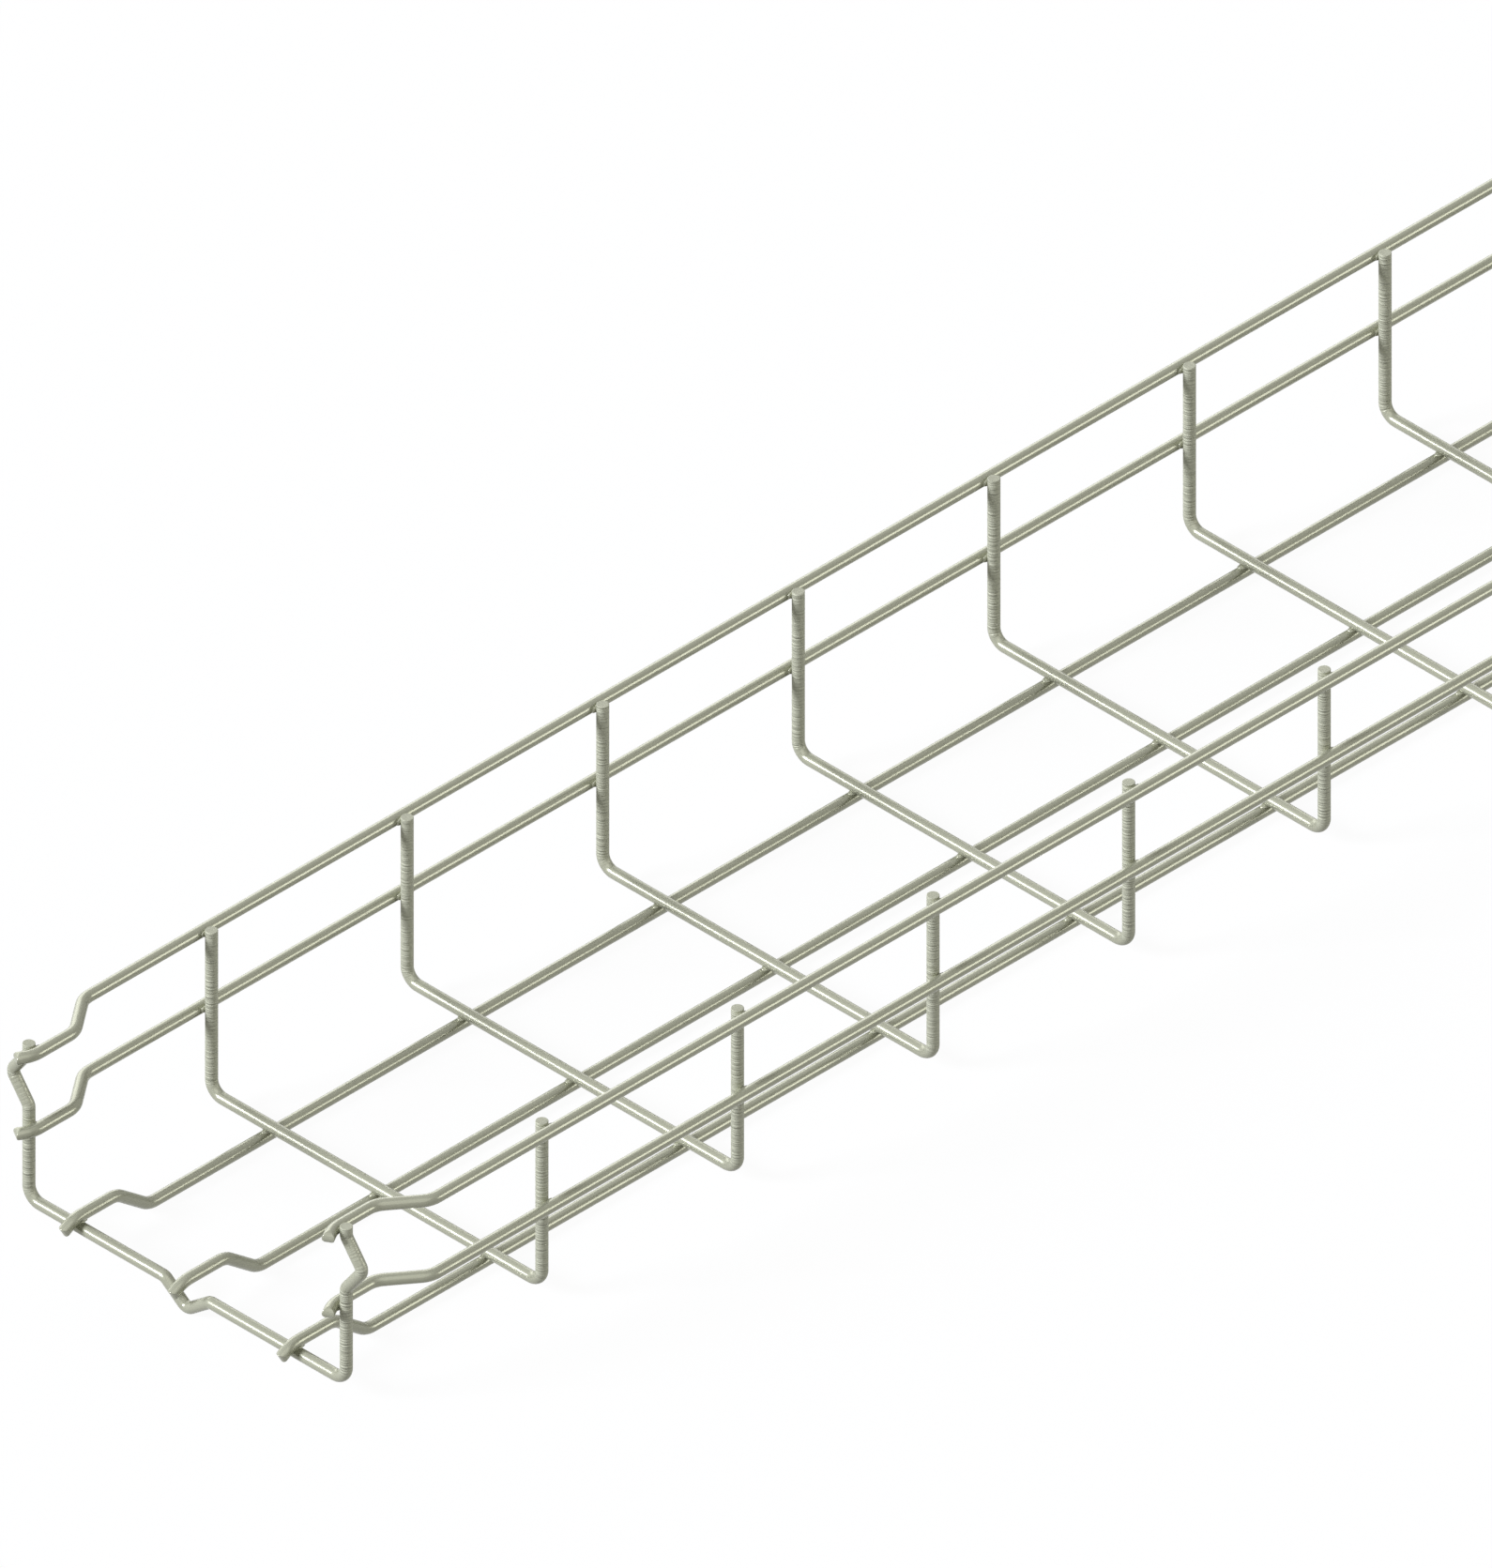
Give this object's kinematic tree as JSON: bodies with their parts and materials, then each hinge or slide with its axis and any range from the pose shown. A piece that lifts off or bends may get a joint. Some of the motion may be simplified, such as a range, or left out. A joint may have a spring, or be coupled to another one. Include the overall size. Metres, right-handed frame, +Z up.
{
  "type": "wire mesh cable tray",
  "caption": "U-shaped welded wire mesh cable tray with stepped, hooked line wires and an inset kinked coupling wire at one end.",
  "frame": {"origin": "middle of the tray's length and width, on its underside", "axes": "+X across the tray, +Y along it towards the plain end, +Z up"},
  "size_m": [0.1828, 3.0162, 0.0787],
  "materials": {
    "line_wire": "drawn steel wire with a thin zinc coat, satin, along the wire",
    "cross_wire": "drawn steel wire with a thin zinc coat, satin, faint drawing marks"
  },
  "bodies": {
    "root": {"line_wire_left_upper": "line_wire", "line_wire_left_lower": "line_wire", "line_wire_floor_left": "line_wire", "line_wire_floor_middle": "line_wire", "line_wire_floor_right": "line_wire", "line_wire_right_lower": "line_wire", "line_wire_right_upper": "line_wire", "coupling_cross_wire": "cross_wire", "cross_wire_01": "cross_wire", "cross_wire_02": "cross_wire", "cross_wire_03": "cross_wire", "cross_wire_04": "cross_wire", "cross_wire_05": "cross_wire", "cross_wire_06": "cross_wire", "cross_wire_07": "cross_wire", "cross_wire_08": "cross_wire", "cross_wire_09": "cross_wire", "cross_wire_10": "cross_wire", "cross_wire_11": "cross_wire", "cross_wire_12": "cross_wire", "cross_wire_13": "cross_wire", "cross_wire_14": "cross_wire", "cross_wire_15": "cross_wire", "cross_wire_16": "cross_wire", "cross_wire_17": "cross_wire", "cross_wire_18": "cross_wire", "cross_wire_19": "cross_wire", "cross_wire_20": "cross_wire", "cross_wire_21": "cross_wire", "cross_wire_22": "cross_wire", "cross_wire_23": "cross_wire", "cross_wire_24": "cross_wire", "cross_wire_25": "cross_wire", "cross_wire_26": "cross_wire", "cross_wire_27": "cross_wire", "cross_wire_28": "cross_wire", "cross_wire_29": "cross_wire", "cross_wire_30": "cross_wire"}
  },
  "joints": []
}
